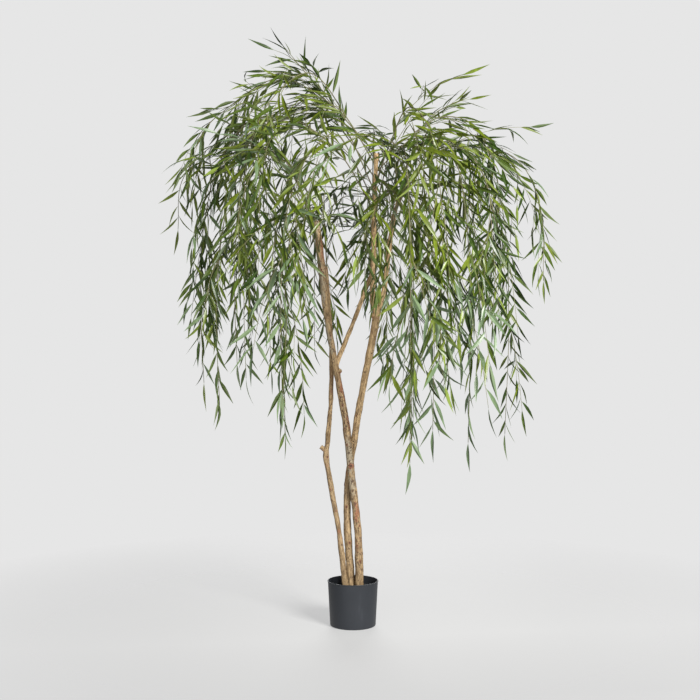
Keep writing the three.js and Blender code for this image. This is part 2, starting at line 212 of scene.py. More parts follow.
Spray = namedtuple("Spray", "name limb start heading reach crest tip sway habit tint strands")
SPRAYS = [
    Spray("left_outer", "stem_right", 1652, 182, 455, 420, 1000, 30, "weep", "mid", 7),
    Spray("left_near", "stem_right", 1620, 226, 410, 300, 1080, -20, "weep", "deep", 4),
    Spray("left_back", "stem_right", 1586, 140, 400, 380, 1010, 20, "weep", "deep", 5),
    Spray("left_front", "stem_right", 1552, 207, 440, 400, 920, 20, "weep", "mid", 5),
    Spray("front_left", "stem_right", 1510, 252, 455, 290, 980, 10, "weep", "blue", 4),
    Spray("front_thin", "stem_right", 1450, 250, 380, 230, 810, 0, "weep", "mid", 5),
    Spray("back_low", "stem_left", 1475, 150, 280, 330, 1050, 0, "weep", "deep", 5),
    Spray("back_left", "stem_left", 1330, 100, 420, 480, 1150, 0, "weep", "deep", 7),
    Spray("top_left", "stem_middle", 1942, 180, 376, 0, 2374, 30, "rise", "deep", 8),
    Spray("top_right", "stem_middle", 1918, 10, 330, 0, 2170, -10, "rise", "olive", 6),
    Spray("high_left_front", "stem_middle", 1892, 206, 570, 350, 1400, 20, "weep", "olive", 7),
    Spray("right_outer", "stem_middle", 1866, 354, 530, 225, 790, 0, "weep", "deep", 8),
    Spray("high_left_back", "stem_middle", 1840, 156, 570, 360, 1400, 0, "weep", "mid", 7),
    Spray("high_front", "stem_middle", 1814, 304, 430, 280, 1180, 0, "weep", "olive", 6),
    Spray("high_left", "stem_middle", 1788, 181, 770, 470, 1780, -20, "reach", "mid", 6),
    Spray("high_back", "stem_middle", 1762, 90, 420, 310, 1400, 0, "weep", "deep", 6),
    Spray("high_front_left", "stem_middle", 1736, 232, 486, 250, 1500, 0, "weep", "olive", 4),
    Spray("far_left", "stem_middle", 1708, 172, 825, 400, 1640, 40, "reach", "olive", 7),
    Spray("front", "stem_middle", 1672, 286, 466, 250, 800, 0, "weep", "olive", 5),
    Spray("front_middle", "stem_middle", 1630, 279, 376, 170, 1300, 0, "weep", "mid", 7),
    Spray("far_right", "bough_right", 1788, 3, 600, 190, 1420, 0, "reach", "mid", 4),
    Spray("back_right", "bough_right", 1754, 94, 440, 290, 1030, 0, "weep", "deep", 7),
    Spray("right", "bough_right", 1726, 329, 430, 248, 1250, 0, "weep", "deep", 8),
    Spray("right_back", "bough_right", 1698, 38, 450, 320, 1330, 0, "weep", "deep", 7),
    Spray("right_front", "bough_right", 1668, 307, 450, 340, 780, 0, "weep", "blue", 4),
    Spray("front_right", "bough_right", 1634, 274, 520, 290, 720, 10, "weep", "blue", 5),
    Spray("right_near", "bough_right", 1598, 290, 400, 300, 830, 10, "weep", "blue", 5),
    Spray("front_near", "bough_right", 1560, 284, 330, 220, 870, 0, "weep", "blue", 5),
    Spray("back_middle", "bough_centre", 1469, 95, 330, 330, 1350, 0, "weep", "deep", 7),
]


# Out (in reaches), up and aside (in sways) along a spray's stem, from its
# crest c and its drop d from the start to the tip.
HABITS = {
    "weep": lambda c, d: [
        (0, 0, 0),
        (0.22, 0.5 * c, 0.2),
        (0.52, c, 0.6),
        (0.84, 0.62 * c, 1),
        (1, 0.43 * c + 0.3 * d, 1.1),
        (1.03, 0.22 * c + 0.64 * d, 1.05),
        (1, d, 1),
    ],
    "reach": lambda c, d: [
        (0, 0, 0),
        (0.2, 0.66 * c, 0.3),
        (0.5, c, 0.7),
        (0.82, 0.7 * c, 0.9),
        (0.98, 0.4 * c + 0.4 * d, 1),
        (1, d, 1),
    ],
    "rise": lambda c, d: [
        (0, 0, 0),
        (0.25, 0.24 * d, 0.3),
        (0.55, 0.53 * d, 0.7),
        (0.8, 0.79 * d, 0.9),
        (1, d, 1),
    ],
}

# Lengths and radii are in millimetres, and radii run from a line's start to its end.
# Openings, sags, swings, bends, twists and turns are in radians. A droop, a drift, a
# plane or a tilt is how much of another way is added to a way of length 1. What is
# bare is the share of a line before its first leaves.
SPRAY_STEPS = 40
SPRAY_RADII = (2.7, 1.1)
SPRAY_BARE = 0.18

# The first strands of each spray are those of the solids.
SOLID_STRANDS = 3
STRAND_STEPS = 14
STRAND_BENDS = 4
STRAND_RADII = (1.4, 0.7)
STRAND_BARE = 0.1
STRAND_LENGTH = 420
STRAND_OPENING = (0.25, 0.85)
STRAND_SAG = (-0.45, 0.85)
STRAND_DROOP = 1.1
STRAND_SHORTEST = 190
STRAND_TIP_GAP = 40
STRAND_DRIFT = 0.2

TWIG_STEPS = 6
TWIG_RADII = (1.0, 0.6)
TWIG_BARE = 0.3
TWIG_LENGTH = (110, 200)
TWIG_OPENING = (0.45, 0.95)
TWIG_DROOP = 1.6
TWIG_SHORTEST = 60

LEAF_TRIES = 5
LEAF_RETRY_TURN = 1.1
LEAF_OPENING = (0.42, 0.84)
LEAF_SWING = 1.1
LEAF_PLANE = 0.5
LEAF_DROOP = 0.12
LEAF_TILT = 0.45
LEAF_SUNK = 1
LEAF_BEND = (-0.15, 0.6)
LEAF_FALCATE = (-0.1, 0.1)
LEAF_TWIST = (-0.5, 0.5)
LAST_PAIR_GAP = 22

# A taper is a factor from the start of a line to its end, and a spread is the
# range that a random factor is drawn from.
END_LEAF_SIZE = (0.72, 0.98)
PAIR_OFFSET = (0.05, 0.35)
LEAF_TAPER = (1.0, 0.9)
LEAF_SPREAD = (0.82, 1.14)
WIDTH_SPREAD = (0.84, 1.16)
STEP_TAPER = (1.05, 0.8)
STEP_SPREAD = (0.88, 1.12)
SOLID_SPAN = (0.12, 0.68)
STRAND_SPREAD = (0.75, 1.25)
STRAND_TAPER = (0.8, 0.4)
DROOP_SPREAD = (0.7, 1.3)
DROOP_TAPER = (0.7, 1.9)

STEM_SEED = 1000
STRAND_SEED = 5000
SEED_STEP = 97

LIMB_CLEARANCE = 3
# Where along a leaf its distance from the limbs is measured.
CHECKED_SHARES = (0.25, 0.6, 1.0)
# How far below the height of its spray's tip a twig may hang.
LOWEST_ROOM = 70

# The tints that are mixed into each spray, after its own.
BLENDS = {
    "deep": ("mid", "mid", "olive"),
    "mid": ("olive", "deep", "blue"),
    "olive": ("mid", "deep", "mid"),
    "blue": ("mid", "deep", "olive"),
}
OWN_SHARE = 0.65
# On the right, leaves of blue sprays turn olive above this height.
BLUE_BELOW = 1450
# The size of young leaves beside a line, as a share of the others'.
YOUNG_SIZE = 0.78
# For each kind of spray, factors on its leaves' length, width and step.
LEAF_FACTORS = {
    "deep": (1, 0.88, 1),
    "mid": (1, 0.92, 1),
    "olive": (1, 0.86, 1),
    "blue": (1.15, 1.12, 1.35),
}


# ---- Growth -----------------------------------------------------------------


def stream(seed):
    """A repeatable stream of numbers from 0 to 1."""
    state = seed

    def draw():
        nonlocal state
        state = (state + 0x6D2B79F5) & 0xFFFFFFFF
        t = ((state ^ (state >> 15)) * (state | 1)) & 0xFFFFFFFF
        t ^= (t + (((t ^ (t >> 7)) * (t | 61)) & 0xFFFFFFFF)) & 0xFFFFFFFF
        return ((t ^ (t >> 14)) & 0xFFFFFFFF) / 4294967296

    return draw


def mix(a, b, k):
    return a + (b - a) * k


def flat(degrees):
    """The level direction of a heading: 0 right, 90 back, 180 left, 270 front."""
    angle = math.radians(degrees)
    return Vector((math.cos(angle), math.sin(angle), 0))


def curve_point(bends, at):
    """The point at a place along the smooth curve through the bends."""
    last = len(bends) - 1
    i = min(int(at), last - 1)
    k = at - i
    a, b = bends[i], bends[i + 1]
    before = bends[i - 1] if i else a * 2 - b
    after = bends[i + 2] if i + 2 <= last else b * 2 - a
    start, end = (b - before) / 2, (after - a) / 2
    bow = (b - a) * 3 - start * 2 - end
    turn = (a - b) * 2 + start + end
    return a + start * k + bow * k**2 + turn * k**3


def curve_points(bends, steps):
    return [curve_point(bends, (len(bends) - 1) * i / steps) for i in range(steps + 1)]


def limb_rings(name, step):
    """Even steps along a limb: the points and the radius at each."""
    rows = LIMBS[name]
    bends = [Vector((x, y, z)) for z, x, y, _ in rows]
    places = []
    for i in range(len(rows) - 1):
        count = max(1, round((rows[i + 1][0] - rows[i][0]) / step))
        places += [i + k / count for k in range(count)]
    places.append(len(rows) - 1)
    radii = []
    for at in places:
        i = min(int(at), len(rows) - 2)
        radii.append(mix(rows[i][3], rows[i + 1][3], at - i))
    return [curve_point(bends, at) for at in places], radii


def on_limb(name, height):
    points, _ = limb_rings(name, 10)
    i = max(1, next(i for i, p in enumerate(points) if p.z >= height))
    k = (height - points[i - 1].z) / (points[i].z - points[i - 1].z)
    return points[i - 1].lerp(points[i], k)


def spine(spray):
    """The stem of a spray, from the limb that carries it to its tip."""
    start = on_limb(spray.limb, spray.start)
    out, aside = flat(spray.heading), flat(spray.heading + 90)
    shape = HABITS[spray.habit](spray.crest, spray.tip - start.z)
    bends = [
        start + out * (o * spray.reach) + UP * u + aside * (a * spray.sway)
        for o, u, a in shape
    ]
    return curve_points(bends, SPRAY_STEPS)


def measured(points):
    at = [0.0]
    for a, b in zip(points, points[1:]):
        at.append(at[-1] + (b - a).length)
    return at


def spot_at(points, at, distance):
    """The point at a distance along a line, and the line's way there."""
    i = 1
    while i < len(points) - 1 and distance > at[i]:
        i += 1
    k = (distance - at[i - 1]) / (at[i] - at[i - 1])
    return points[i - 1].lerp(points[i], k), (points[i] - points[i - 1]).normalized()


def level_across(along, draw, least):
    level = along.cross(UP)
    return level.normalized() if level.length >= least else flat(360 * draw())


def strand_points(start, along, turn, opening, length, droop, draw, steps):
    """A strand walks out of its stem and bends down on the way."""
    level = level_across(along, draw, 0.15)
    lift = level.cross(along)
    way = along * math.cos(opening)
    way += (level * math.cos(turn) + lift * math.sin(turn)) * math.sin(opening)
    way.normalize()
    drift = flat(360 * draw()) * STRAND_DRIFT
    points = [start.copy()]
    for _ in range(STRAND_BENDS):
        way += (drift - UP * droop) / STRAND_BENDS
        way.normalize()
        points.append(points[-1] + way * (length / STRAND_BENDS))
    return curve_points(points, steps)


class Room:
    """The space that the limbs take, and the crown's own box."""

    def __init__(self, margin):
        starts, ends, radii = [], [], []
        for name in LIMBS:
            points, sizes = limb_rings(name, 60)
            starts += points[:-1]
            ends += points[1:]
            radii += sizes[:-1]
        self.starts = np.array(starts)
        self.spans = np.array(ends) - self.starts
        self.radii = np.array(radii)
        self.low = np.array(CAD_BOX[0]) / MM - margin
        self.high = np.array(CAD_BOX[1]) / MM + margin

    def is_free(self, start, end, radius):
        """True if a straight blade keeps to the box and off the limbs."""
        tip = np.array(end)
        if (tip < self.low).any() or (tip > self.high).any():
            return False
        for k in CHECKED_SHARES:
            spot = np.array(start.lerp(end, k))
            gap = spot - self.starts
            along = (gap * self.spans).sum(1) / (self.spans**2).sum(1)
            gap -= self.spans * np.clip(along, 0, 1)[:, None]
            if (np.sqrt((gap**2).sum(1)) < self.radii + radius + LIMB_CLEARANCE).any():
                return False
        return True


class Crown:
    """Everything that grows on the limbs: its lines and its leaves, in millimetres."""

    def __init__(self, sizes):
        self.sizes = sizes
        self.room = Room(sizes.reach_margin / MM)
        self.lines = {"stems": [], "strands": [], "twigs": []}
        self.leaves = []
        for index, spray in enumerate(SPRAYS):
            self.grow_spray(index, spray)

    def leaf_size(self, own, size):
        """Length and width of a leaf, each kind of spray with its own proportions."""
        long, wide, _ = LEAF_FACTORS[own]
        sizes = self.sizes
        return sizes.leaf_length / MM * long * size, sizes.leaf_width / MM * wide * size

    def pick_tint(self, own, spot, draw, young):
        if draw() < young:
            return "young"
        if own == "blue" and spot.x > 0 and spot.z > BLUE_BELOW:
            own = "olive"
        if draw() < OWN_SHARE:
            return own
        return BLENDS[own][int(3 * draw())]

    def add_leaf(self, root, way, normal, length, width, tint, draw):
        if not self.room.is_free(root, root + way * length, width / 2):
            return False
        normal = normal + flat(360 * draw()) * LEAF_TILT
        normal = (normal - way * normal.dot(way)).normalized()
        self.leaves.append(
            {
                "root": root - way * LEAF_SUNK,
                "way": way,
                "normal": normal,
                "length": length,
                "width": width,
                "bend": mix(*LEAF_BEND, draw()),
                "falcate": mix(*LEAF_FALCATE, draw()),
                "twist": mix(*LEAF_TWIST, draw()),
                "tint": tint,
            }
        )
        return True

    def side_leaf(self, root, along, plane, side, size, own, tint, draw):
        """Tries a few ways out from the line until the leaf is clear of the limbs."""
        level = along.cross(UP) + plane * LEAF_PLANE
        level = (level - along * level.dot(along)).normalized()
        other = along.cross(level)
        for i in range(LEAF_TRIES):
            turn = side * math.pi + LEAF_SWING * (draw() - 0.5) + LEAF_RETRY_TURN * i
            opening = mix(*LEAF_OPENING, draw())
            way = along * math.cos(opening)
            way += (level * math.cos(turn) + other * math.sin(turn)) * math.sin(opening)
            way = (way - UP * LEAF_DROOP).normalized()
            normal = along.cross(way) * (1 if side else -1)
            length, width = self.leaf_size(own, size)
            width *= mix(*WIDTH_SPREAD, draw())
            if self.add_leaf(root, way, normal, length, width, tint, draw):
                return

    def leaves_along(self, points, first, own, young, draw):
        """Pairs of leaves up a line, a little apart, and one at its end."""
        at = measured(points)
        plane = flat(360 * draw())
        total = at[-1]
        way = (points[-1] - points[-2]).normalized()
        length, width = self.leaf_size(own, mix(*END_LEAF_SIZE, draw()))
        tint = self.pick_tint(own, points[-1], draw, young)
        self.add_leaf(points[-1], way, flat(360 * draw()), length, width, tint, draw)
        distance = first * total
        step = self.sizes.leaf_step / MM * LEAF_FACTORS[own][2]
        while distance < total - LAST_PAIR_GAP:
            k = distance / total
            for side in (0, 1):
                offset = distance + side * mix(*PAIR_OFFSET, draw()) * step
                spot, along = spot_at(points, at, min(offset, total))
                size = mix(*LEAF_TAPER, k) * mix(*LEAF_SPREAD, draw())
                tint = self.pick_tint(own, spot, draw, young * k)
                size *= YOUNG_SIZE if tint == "young" else 1
                self.side_leaf(spot, along, plane, side, size, own, tint, draw)
            distance += step * mix(*STEP_TAPER, k) * mix(*STEP_SPREAD, draw())

    def strand_count(self, spray):
        return max(SOLID_STRANDS + 1, round(spray.strands * self.sizes.fullness))

    def grow_strand(self, stem, spray, j, draw):
        """One hanging strand: where it leaves its stem, and its walk."""
        habit = spray.habit
        count = self.strand_count(spray)
        at = measured(stem)
        if j < SOLID_STRANDS:
            k = mix(*SOLID_SPAN, (j + mix(0.3, 0.7, draw())) / SOLID_STRANDS)
        else:
            share = (j - SOLID_STRANDS + mix(0.1, 0.9, draw())) / (count - SOLID_STRANDS)
            k = mix(0.1 if habit == "weep" else 0.25, 0.8, share)
        spot, along = spot_at(stem, at, at[-1] * k)
        side = 1 if j % 2 else -1
        sag = mix(*STRAND_SAG, draw()) - (0.6 if habit == "rise" else 0)
        turn = (j % 2) * math.pi + sag * side
        opening = mix(*STRAND_OPENING, draw())
        length = STRAND_LENGTH * mix(*STRAND_SPREAD, draw())
        if habit == "weep":
            length = max(STRAND_SHORTEST, min(length, spot.z - spray.tip - STRAND_TIP_GAP))
        else:
            length *= mix(*STRAND_TAPER, k)
        droop = STRAND_DROOP * mix(*DROOP_SPREAD, draw()) * mix(*DROOP_TAPER, k)
        if habit == "rise":
            droop *= 0.5
        elif j >= SOLID_STRANDS:
            droop *= mix(0.62, 1.15, k)
        return strand_points(spot, along, turn, opening, length, droop, draw, STRAND_STEPS)

    def grow_twigs(self, strand, own, lowest, draw):
        """Short twigs that leave a strand and hang beside it."""
        at = measured(strand)
        for i in range(self.sizes.twigs):
            k = (i + mix(0.2, 0.8, draw())) / self.sizes.twigs
            spot, along = spot_at(strand, at, at[-1] * mix(0.15, 0.7, k))
            length = min(mix(*TWIG_LENGTH, draw()), spot.z - lowest)
            if length < TWIG_SHORTEST:
                continue
            turn, opening = 2 * math.pi * draw(), mix(*TWIG_OPENING, draw())
            points = strand_points(
                spot, along, turn, opening, length, TWIG_DROOP, draw, TWIG_STEPS
            )
            self.lines["twigs"].append((points, TWIG_RADII))
            self.leaves_along(points, TWIG_BARE, own, self.sizes.young_share, draw)

    def grow_spray(self, index, spray):
        stem = spine(spray)
        own = spray.tint
        lowest = spray.tip - LOWEST_ROOM
        young = self.sizes.young_share
        draw = stream(STEM_SEED + SEED_STEP * index)
        self.lines["stems"].append((stem, SPRAY_RADII))
        self.leaves_along(stem, SPRAY_BARE, own, young * 0.5, draw)
        for j in range(self.strand_count(spray)):
            draw = stream(STRAND_SEED + SEED_STEP * index + j)
            strand = self.grow_strand(stem, spray, j, draw)
            self.lines["strands"].append((strand, STRAND_RADII))
            self.leaves_along(strand, STRAND_BARE, own, young, draw)
            self.grow_twigs(strand, own, lowest, draw)


# ---- Meshes -----------------------------------------------------------------


class Shape:
    """Points and faces gathered from many small forms into one mesh."""

    def __init__(self):
        self.points = []
        self.faces = []
        self.slots = []

    def add(self, points, faces, slot=0):
        base = len(self.points)
        self.points += [tuple(p) for p in points]
        self.faces += [tuple(base + i for i in face) for face in faces]
        self.slots += [slot] * len(faces)

    def piece(self, name, finishes, scale=MM):
        """Makes the object, dressed with its finishes."""
        mesh = bpy.data.meshes.new(name)
        points = np.array(self.points) * scale
        mesh.from_pydata(points.tolist(), [], self.faces)
        mesh.polygons.foreach_set("material_index", self.slots)
        mesh.shade_smooth()
        mesh.validate()
        return placed(name, mesh, finishes)


def placed(name, mesh, finishes):
    """Puts a mesh in the scene with its finishes, slot by slot."""
    obj = bpy.data.objects.new(name, mesh)
    bpy.context.scene.collection.objects.link(obj)
    for finish in finishes:
        mesh.materials.append(finish.material)
    return obj


def wear(obj, nodes):
    """Puts a finished piece in the place of the solids that it stands for."""
    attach(obj, "root")
    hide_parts(*nodes)


def bands(rings, sides, first=0):
    """The faces between rings of points that follow each other."""
    faces = []
    for i in range(rings - 1):
        for k in range(sides):
            a, b = first + i * sides + k, first + i * sides + (k + 1) % sides
            faces.append((a, b, b + sides, a + sides))
    return faces


def tube(points, radii, sides):
    """A closed round line: its points, and its faces with a cap at each end."""
    level = Vector((1, 0, 0))
    last = len(points) - 1
    corners = []
    for i, point in enumerate(points):
        along = (points[min(i + 1, last)] - points[max(i - 1, 0)]).normalized()
        level = (level - along * level.dot(along)).normalized()
        other = along.cross(level)
        radius = mix(radii[0], radii[1], i / last)
        for k in range(sides):
            angle = 2 * math.pi * k / sides
            corners.append(point + (level * math.cos(angle) + other * math.sin(angle)) * radius)
    faces = [tuple(reversed(range(sides))), *bands(len(points), sides)]
    faces.append(tuple(last * sides + k for k in range(sides)))
    return corners, faces


# ---- Finishes ---------------------------------------------------------------


class Wire:
    """A socket that does sums. Each sum adds its Math node to the finish."""

    def __init__(self, finish, socket):
        self.finish = finish
        self.socket = socket

    def result(self, operation, left, right):
        kind = "ShaderNodeVectorMath" if self.socket.type == "VECTOR" else "ShaderNodeMath"
        return self.finish.node(kind, {"operation": operation}, {0: left, 1: right})

    def __add__(self, other):
        return self.result("ADD", self, other)

    def __radd__(self, other):
        return self.result("ADD", other, self)

    def __sub__(self, other):
        return self.result("SUBTRACT", self, other)

    def __rsub__(self, other):
        return self.result("SUBTRACT", other, self)

    def __mul__(self, other):
        return self.result("MULTIPLY", self, other)

    def __rmul__(self, other):
        return self.result("MULTIPLY", other, self)


SOCKETS = {
    "base_color": "Base Color",
    "roughness": "Roughness",
    "normal": "Normal",
    "alpha": "Alpha",
    "specular": "Specular IOR Level",
    "glow_color": "Emission Color",
    "glow": "Emission Strength",
}


class Finish:
    """A material built from nodes."""

    def __init__(self, name):
        self.material = bpy.data.materials.new(name)
        self.material.use_nodes = True
        self.tree = self.material.node_tree
        self.shader = self.tree.nodes["Principled BSDF"]

    def node(self, kind, settings=None, inputs=None, output=0):
        made = self.tree.nodes.new(kind)
        for key, value in (settings or {}).items():
            if key == "stops":
                self.set_stops(made.color_ramp, value)
            else:
                setattr(made, key, value)
        for key, value in (inputs or {}).items():
            self.feed(made.inputs[key], value)
        return Wire(self, made.outputs[output])

    def set_stops(self, ramp, stops):
        while len(ramp.elements) < len(stops):
            ramp.elements.new(0.5)
        for element, (place, level) in zip(ramp.elements, stops):
            element.position = place
            element.color = (level, level, level, 1)

    def feed(self, socket, value):
        if isinstance(value, Wire):
            self.tree.links.new(value.socket, socket)
        elif socket.type == "RGBA":
            socket.default_value = (*value, 1)
        else:
            socket.default_value = value

    def dress(self, **values):
        """Sets the shader's sockets to values or wires."""
        for key, value in values.items():
            self.feed(self.shader.inputs[SOCKETS[key]], value)
        return self

    def place(self):
        return self.node("ShaderNodeTexCoord", output="Object")

    def attribute(self, name, output="Vector"):
        return self.node("ShaderNodeAttribute", {"attribute_name": name}, output=output)

    def noise(self, place, scale, detail=2.0, roughness=0.5):
        inputs = {"Vector": place, "Scale": scale, "Detail": detail, "Roughness": roughness}
        return self.node("ShaderNodeTexNoise", {}, inputs)

    def ramp(self, value, *stops):
        """A mask that goes through (place, level) stops."""
        return self.node("ShaderNodeValToRGB", {"stops": stops}, {"Fac": value})

    def blend(self, mask, first, second):
        settings = {"data_type": "RGBA"}
        return self.node("ShaderNodeMix", settings, {0: mask, 6: first, 7: second}, 2)

    def far_out(self, place):
        """How far a place lies from the middle."""
        settings = {"operation": "LENGTH"}
        return self.node("ShaderNodeVectorMath", settings, {0: place}, "Value")

    def toward(self, place, way):
        """How far a place lies in one direction."""
        settings = {"operation": "DOT_PRODUCT"}
        return self.node("ShaderNodeVectorMath", settings, {0: place, 1: way}, "Value")

    def bump(self, height, depth):
        inputs = {"Height": height, "Distance": depth, "Strength": 1.0}
        return self.node("ShaderNodeBump", {}, inputs)


def tone(colour, factor):
    return [min(1.0, c * factor) for c in colour]


def between(first, second, share):
    """A colour that leans from the first to the second."""
    return [mix(a, b, share) for a, b in zip(first, second)]


def pot_finish(settings):
    """Matt slate-grey moulded plastic with faint scuffs."""
    finish = Finish("matt_plastic")
    place = finish.place()
    cloud = finish.noise(place, 9, 3)
    scuff = finish.ramp(finish.noise(place * (60, 60, 8), 1, 4), (0.6, 0), (0.75, 1))
    colour = settings.colour
    base = finish.blend(cloud, tone(colour, 0.86), tone(colour, 1.14))
    grain = finish.noise(place, 900, 2)
    return finish.dress(
        base_color=finish.blend(scuff * 0.35, base, tone(colour, 1.6)),
        roughness=0.4 + cloud * 0.14 + scuff * 0.1,
        normal=finish.bump(grain, 0.00012),
        specular=0.38,
    )


def fill_finish():
    """Dry black filler with dusty crumbs."""
    finish = Finish("black_filling")
    place = finish.place()
    crumbs = finish.noise(place, 160, 4, 0.6)
    dust = finish.ramp(finish.noise(place, 420, 2), (0.55, 0), (0.75, 1))
    base = finish.blend(crumbs, shade("0b0b0c"), shade("232322"))
    return finish.dress(
        base_color=finish.blend(dust * 0.5, base, shade("3a3835")),
        roughness=0.86 + crumbs * 0.1,
        normal=finish.bump(crumbs, 0.002),
    )


def wood_finish(name, settings, roughness, painted_light_tones):
    """Barked natural wood: mottled streaks, grey and red patches, specks and knots, toned darker low
    down and painted lighter high up, where the crown shades it.
    """
    finish = Finish(name)
    grain = finish.attribute("grain")
    # Painted light: the wood is toned darker low down and lighter higher up, where the crown shades
    # it.
    high = finish.ramp(finish.toward(finish.place(), (0, 0, 1)), (0.55, 0), (1, 1))
    pale = finish.blend(high, *(tone(settings.pale, k) for k in painted_light_tones))
    dark = finish.blend(high, *(tone(settings.dark, k) for k in painted_light_tones))
    knot = finish.attribute("knot", "Fac")
    weathered = finish.attribute("weathered", "Fac")
    reddish = finish.attribute("reddish", "Fac")

    def clouds(stretch, scale, detail, fineness=0.6):
        """Noise that is drawn out along the limb."""
        return finish.noise(grain * (1, 1, stretch), scale, detail, fineness)

    streak = clouds(0.1, 260, 5)
    fibre = clouds(0.05, 1500, 3)
    mottle = clouds(0.45, 62, 4)
    edges = clouds(0.4, 90, 4)
    specks_from = 0.6 - 0.05 * roughness
    speck = finish.ramp(clouds(0.6, 170, 3), (specks_from, 0), (specks_from + 0.06, 1))
    pit = finish.ramp(clouds(0.7, 95, 2, 0.5), (0.63, 0), (0.68, 1))
    bark = finish.blend(finish.ramp(streak, (0.34, 0), (0.6, 1)), dark, pale)
    stain = finish.ramp(mottle, (0.48, 0), (0.6, 1))
    bark = finish.blend(stain * (0.4 + 0.3 * roughness), bark, dark)
    break_up = (edges - 0.5) * 2.4
    grey_mask = finish.ramp(weathered + break_up, (0.35, 0), (0.65, 1))
    bark = finish.blend(grey_mask * 0.75, bark, settings.grey)
    red_mask = finish.ramp(reddish + break_up, (0.45, 0), (0.75, 1))
    bark = finish.blend(red_mask * 0.7, bark, settings.red)
    bark = finish.blend(speck * (0.5 + 0.3 * roughness), bark, settings.knot)
    bark = finish.blend(pit * 0.7, bark, settings.knot)
    bark = finish.blend(finish.ramp(knot, (0.08, 0), (0.4, 1)) * 0.6, bark, settings.red)
    bark = finish.blend(finish.ramp(knot, (0.35, 0), (0.75, 1)), bark, settings.knot)
    relief = streak * 0.6 + fibre * 0.25 - speck * 0.4 - pit * 0.5
    return finish.dress(
        base_color=bark,
        roughness=0.6 + streak * 0.25,
        normal=finish.bump(relief, 0.0011),
    )


def cut_finish(settings):
    """The sawn end of a limb: pale, with growth rings and grey dirt."""
    finish = Finish("sawn_wood")
    grain = finish.attribute("grain")
    wobble = finish.noise(grain, 300, 2)
    wave = finish.far_out(grain) * 4200 + wobble * 6
    rings = finish.node("ShaderNodeMath", {"operation": "SINE"}, {0: wave})
    base = finish.blend(rings * 0.5 + 0.5, settings.pale, tone(settings.pale, 0.62))
    dirt = finish.ramp(finish.noise(grain, 160, 3), (0.5, 0), (0.7, 1))
    return finish.dress(
        base_color=finish.blend(dirt * 0.5, base, settings.grey),
        roughness=0.78 + wobble * 0.1,
        normal=finish.bump(rings * 0.3 + wobble, 0.0006),
    )


def twig_finish(name, colour, warm):
    """Plastic-coated wire twig, mottled, with fine rings of wrapping."""
    finish = Finish(name)
    place = finish.place()
    mottle = finish.noise(place, 60, 3)
    base = finish.blend(finish.ramp(mottle, (0.35, 0), (0.65, 1)), colour, warm)
    wrap = finish.noise(place, 700, 2)
    return finish.dress(
        base_color=finish.blend(wrap * 0.3, base, tone(colour, 0.55)),
        roughness=0.55 + mottle * 0.15,
        normal=finish.bump(wrap, 0.0004),
    )


def leaf_finish(name, colour, dry, light):
    """Printed fabric leaf: clouded colour, a fine weave and a low satin sheen."""
    finish = Finish(name)
    place = finish.place()
    cloud = finish.noise(place, 11, 3)
    mottle = finish.noise(place * (1, 1, 0.4), 75, 2)
    base = finish.blend(finish.ramp(cloud, (0.35, 0), (0.65, 1)), tone(colour, 1 - light), colour)
    base = finish.blend(finish.ramp(mottle, (0.45, 0), (0.75, 1)), base, tone(colour, 1 + light))
    weave = finish.noise(place, 1400, 1)
    return finish.dress(
        base_color=base,
        roughness=dry + mottle * 0.16,
        normal=finish.bump(weave, 0.00012),
        specular=0.42,
    )


# ---- Settings ---------------------------------------------------------------


def length_setting(name, description, default):
    return bpy.props.FloatProperty(
        name=name, description=description, default=default, min=0, unit="LENGTH", precision=4
    )


def colour_setting(name, description, default):
    return bpy.props.FloatVectorProperty(
        name=name, description=description, default=default, subtype="COLOR", min=0, max=1
    )


class WillowPot(bpy.types.PropertyGroup):
    """The pot and its filling."""

    rim_radius: length_setting("Rim radius", "Outside of the rim", (POT_BOX[1].x - POT_BOX[0].x) / 2)
    height: length_setting("Height", "From the floor to the top of the rim", POT_BOX[1].z)
    base_radius: length_setting("Base radius", "Outside of the foot", 0.094)
    wall: length_setting("Wall", "Thickness of the plastic", 0.003)
    colour: colour_setting("Colour", "The plastic", shade("272a2f"))


class WillowWood(bpy.types.PropertyGroup):
    """The three stems and their boughs."""

    relief: length_setting("Relief", "How far the bark's ridges stand out", 0.0014)
    pale: colour_setting("Pale", "Light streaks of the wood", shade("c0a47b"))
    dark: colour_setting("Dark", "Dark streaks of the wood", shade("715839"))
    grey: colour_setting("Grey", "Weathered patches", shade("a79b84"))
    red: colour_setting("Red", "Reddish inner bark", shade("8c5339"))
    knot: colour_setting("Knot", "Knots and specks", shade("432c1e"))


